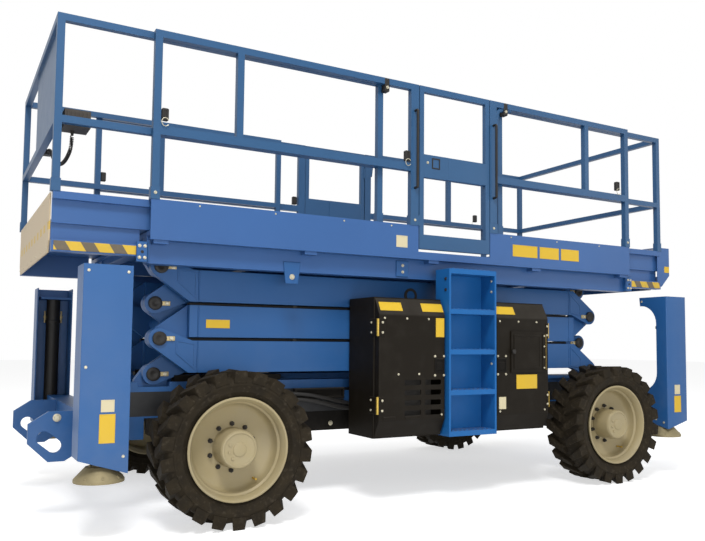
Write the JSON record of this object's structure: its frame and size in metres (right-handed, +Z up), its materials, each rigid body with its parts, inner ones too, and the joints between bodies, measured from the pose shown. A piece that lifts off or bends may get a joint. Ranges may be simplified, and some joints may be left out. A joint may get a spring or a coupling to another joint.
{
  "type": "scissor lift",
  "caption": "Four-wheel rough-terrain scissor lift with stabiliser legs, stacked crossed arms, side cabinets, ladders and a railed platform with sliding deck extensions.",
  "frame": {"origin": "on the ground under the middle of the wheelbase", "axes": "+X to the steered front end, +Y to the left side, +Z up"},
  "size_m": [4.77, 2.29, 2.6898],
  "materials": {
    "blue_paint": "satin",
    "dark_paint": "satin",
    "rim_paint": "satin",
    "tyre_rubber": "matte",
    "axle_iron": "matte",
    "zinc_plate": "satin",
    "chrome_rod": "polished",
    "end_sheet": "brushed",
    "black_plastic": "matte",
    "cord_jacket": "matte"
  },
  "bodies": {
    "chassis": {"chassis_frame": "blue_paint", "cross_members": "blue_paint", "belly_plates": "dark_paint", "tie_down_plates": "blue_paint", "front_axle": "axle_iron", "rear_axle": "axle_iron", "outrigger_cover_front_left": "blue_paint", "outrigger_cover_front_right": "blue_paint", "outrigger_cover_rear_left": "blue_paint", "outrigger_cover_rear_right": "blue_paint", "outrigger_jacks": "dark_paint", "cabinet_front_left": "dark_paint", "cabinet_front_right": "dark_paint", "cabinet_rear_left": "dark_paint", "cabinet_rear_right": "dark_paint", "engine_block": "axle_iron", "ladders": "blue_paint"},
    "wheel_front_left": {"tyre_front_left": "tyre_rubber", "rim_front_left": "rim_paint"},
    "wheel_front_right": {"tyre_front_right": "tyre_rubber", "rim_front_right": "rim_paint"},
    "wheel_rear_left": {"tyre_rear_left": "tyre_rubber", "rim_rear_left": "rim_paint"},
    "wheel_rear_right": {"tyre_rear_right": "tyre_rubber", "rim_rear_right": "rim_paint"},
    "steer_left": {"knuckle_left": "axle_iron"},
    "steer_right": {"knuckle_right": "axle_iron"},
    "tie_rod": {"tie_rod": "axle_iron"},
    "inner_1": {"inner_arms_1": "blue_paint"},
    "outer_1": {"outer_arms_1": "blue_paint"},
    "inner_2": {"inner_arms_2": "blue_paint"},
    "outer_2": {"outer_arms_2": "blue_paint"},
    "inner_3": {"inner_arms_3": "blue_paint"},
    "outer_3": {"outer_arms_3": "blue_paint"},
    "lift_barrel": {"lift_barrel": "dark_paint"},
    "lift_rod": {"lift_rod": "chrome_rod"},
    "platform": {"platform_deck": "blue_paint", "rail_left": "blue_paint", "rail_right": "blue_paint"},
    "gate_left": {"gate_left": "blue_paint"},
    "gate_right": {"gate_right": "blue_paint"},
    "front_extension": {"front_extension_deck": "blue_paint", "front_extension_rails": "blue_paint", "front_end_plate": "end_sheet", "control_box": "black_plastic", "cord_socket": "black_plastic", "control_cord": "cord_jacket"},
    "rear_extension": {"rear_extension_deck": "blue_paint", "rear_extension_rails": "blue_paint", "rear_end_plate": "blue_paint"},
    "leg_front_left": {"outrigger_leg_front_left": "zinc_plate"},
    "door_front_left": {"door_front_left": "dark_paint"},
    "leg_front_right": {"outrigger_leg_front_right": "zinc_plate"},
    "door_front_right": {"door_front_right": "dark_paint"},
    "leg_rear_left": {"outrigger_leg_rear_left": "zinc_plate"},
    "door_rear_left": {"door_rear_left": "dark_paint"},
    "leg_rear_right": {"outrigger_leg_rear_right": "zinc_plate"},
    "door_rear_right": {"door_rear_right": "dark_paint"},
    "hatch": {"control_hatch": "dark_paint"}
  },
  "joints": [
    {"name": "steer", "type": "hinge", "parent": "chassis", "child": "steer_left", "pos_m": [1.42, 0.8, 0.419], "axis": [0, 0, 1], "range_deg": [-27, 27]},
    {"name": "steer_other", "type": "hinge", "parent": "chassis", "child": "steer_right", "pos_m": [1.42, -0.8, 0.419], "axis": [0, 0, 1], "range_deg": [-27.5, 27.5]},
    {"name": "tie_rod_swing", "type": "hinge", "parent": "steer_left", "child": "tie_rod", "pos_m": [1.22, 0.8, 0.419], "axis": [0, 0, 1], "range_deg": [-27.5, 27.5]},
    {"name": "wheel_front_left_spin", "type": "hinge", "parent": "steer_left", "child": "wheel_front_left", "pos_m": [1.42, 0.9925, 0.419], "axis": [0, 1, 0], "continuous": true},
    {"name": "wheel_front_right_spin", "type": "hinge", "parent": "steer_right", "child": "wheel_front_right", "pos_m": [1.42, -0.9925, 0.419], "axis": [0, 1, 0], "continuous": true},
    {"name": "wheel_rear_left_spin", "type": "hinge", "parent": "chassis", "child": "wheel_rear_left", "pos_m": [-1.42, 0.9925, 0.419], "axis": [0, 1, 0], "continuous": true},
    {"name": "wheel_rear_right_spin", "type": "hinge", "parent": "chassis", "child": "wheel_rear_right", "pos_m": [-1.42, -0.9925, 0.419], "axis": [0, 1, 0], "continuous": true},
    {"name": "lift", "type": "hinge", "parent": "chassis", "child": "inner_1", "pos_m": [1.74, 0, 0.8], "axis": [0, 1, 0], "range_deg": [0, 60]},
    {"name": "arm_1_cross", "type": "hinge", "parent": "inner_1", "child": "outer_1", "pos_m": [0.055, 0, 0.903], "axis": [0, 1, 0], "range_deg": [-121, 1]},
    {"name": "arm_2_knee", "type": "hinge", "parent": "outer_1", "child": "outer_2", "pos_m": [1.74, 0, 1.006], "axis": [0, 1, 0], "range_deg": [-1, 121]},
    {"name": "arm_2_cross", "type": "hinge", "parent": "outer_2", "child": "inner_2", "pos_m": [0.055, 0, 1.109], "axis": [0, 1, 0], "range_deg": [-121, 1]},
    {"name": "arm_3_knee", "type": "hinge", "parent": "inner_2", "child": "inner_3", "pos_m": [1.74, 0, 1.212], "axis": [0, 1, 0], "range_deg": [-1, 121]},
    {"name": "arm_3_cross", "type": "hinge", "parent": "inner_3", "child": "outer_3", "pos_m": [0.055, 0, 1.315], "axis": [0, 1, 0], "range_deg": [-121, 1]},
    {"name": "platform_level", "type": "hinge", "parent": "outer_3", "child": "platform", "pos_m": [1.74, 0, 1.418], "axis": [0, 1, 0], "range_deg": [-1, 61]},
    {"name": "lift_barrel_swing", "type": "hinge", "parent": "inner_1", "child": "lift_barrel", "pos_m": [1.4, 0, 0.883], "axis": [0, 1, 0], "range_deg": [-0.5, 5.82]},
    {"name": "lift_rod_stroke", "type": "slide", "parent": "lift_barrel", "child": "lift_rod", "axis": [-0.9954, 0, 0.0957], "range_m": [-0.005, 1.1658]},
    {"name": "front_extension_slide", "type": "slide", "parent": "platform", "child": "front_extension", "axis": [1, 0, 0], "range_m": [0, 1.42]},
    {"name": "rear_extension_slide", "type": "slide", "parent": "platform", "child": "rear_extension", "axis": [-1, 0, 0], "range_m": [0, 1.22]},
    {"name": "gate_left_swing", "type": "hinge", "parent": "platform", "child": "gate_left", "pos_m": [-0.426, 0.881, 2.15], "axis": [0, 0, -1], "range_deg": [0, 88]},
    {"name": "gate_right_swing", "type": "hinge", "parent": "platform", "child": "gate_right", "pos_m": [-0.426, -0.881, 2.15], "axis": [0, 0, 1], "range_deg": [0, 88]},
    {"name": "leg_front_left_slide", "type": "slide", "parent": "chassis", "child": "leg_front_left", "axis": [0, 0, -1], "range_m": [0, 0.42]},
    {"name": "leg_front_right_slide", "type": "slide", "parent": "chassis", "child": "leg_front_right", "axis": [0, 0, -1], "range_m": [0, 0.42]},
    {"name": "leg_rear_left_slide", "type": "slide", "parent": "chassis", "child": "leg_rear_left", "axis": [0, 0, -1], "range_m": [0, 0.42]},
    {"name": "leg_rear_right_slide", "type": "slide", "parent": "chassis", "child": "leg_rear_right", "axis": [0, 0, -1], "range_m": [0, 0.42]},
    {"name": "door_front_left_swing", "type": "hinge", "parent": "chassis", "child": "door_front_left", "pos_m": [0.533, 1.0524, 0.84], "axis": [0, 0, -1], "range_deg": [0, 105]},
    {"name": "door_front_right_swing", "type": "hinge", "parent": "chassis", "child": "door_front_right", "pos_m": [0.533, -1.0524, 0.84], "axis": [0, 0, 1], "range_deg": [0, 105]},
    {"name": "door_rear_left_swing", "type": "hinge", "parent": "chassis", "child": "door_rear_left", "pos_m": [-0.828, 1.0524, 0.84], "axis": [0, 0, 1], "range_deg": [0, 105]},
    {"name": "door_rear_right_swing", "type": "hinge", "parent": "chassis", "child": "door_rear_right", "pos_m": [-0.828, -1.0524, 0.84], "axis": [0, 0, -1], "range_deg": [0, 105]},
    {"name": "hatch_swing", "type": "hinge", "parent": "door_rear_left", "child": "hatch", "pos_m": [-0.795, 1.0648, 0.94], "axis": [0, 0, 1], "range_deg": [0, 100]}
  ],
  "couplings": [
    {"joint": "steer_other", "follows": "steer", "ratio": 1},
    {"joint": "tie_rod_swing", "follows": "steer", "ratio": -1},
    {"joint": "arm_1_cross", "follows": "lift", "ratio": -2},
    {"joint": "arm_2_knee", "follows": "lift", "ratio": 2},
    {"joint": "arm_2_cross", "follows": "lift", "ratio": -2},
    {"joint": "arm_3_knee", "follows": "lift", "ratio": 2},
    {"joint": "arm_3_cross", "follows": "lift", "ratio": -2},
    {"joint": "platform_level", "follows": "lift", "ratio": 1},
    {"joint": "lift_barrel_swing", "follows": "lift", "ratio": 0.088584},
    {"joint": "lift_rod_stroke", "follows": "lift", "m_per_rad": 1.1085}
  ]
}
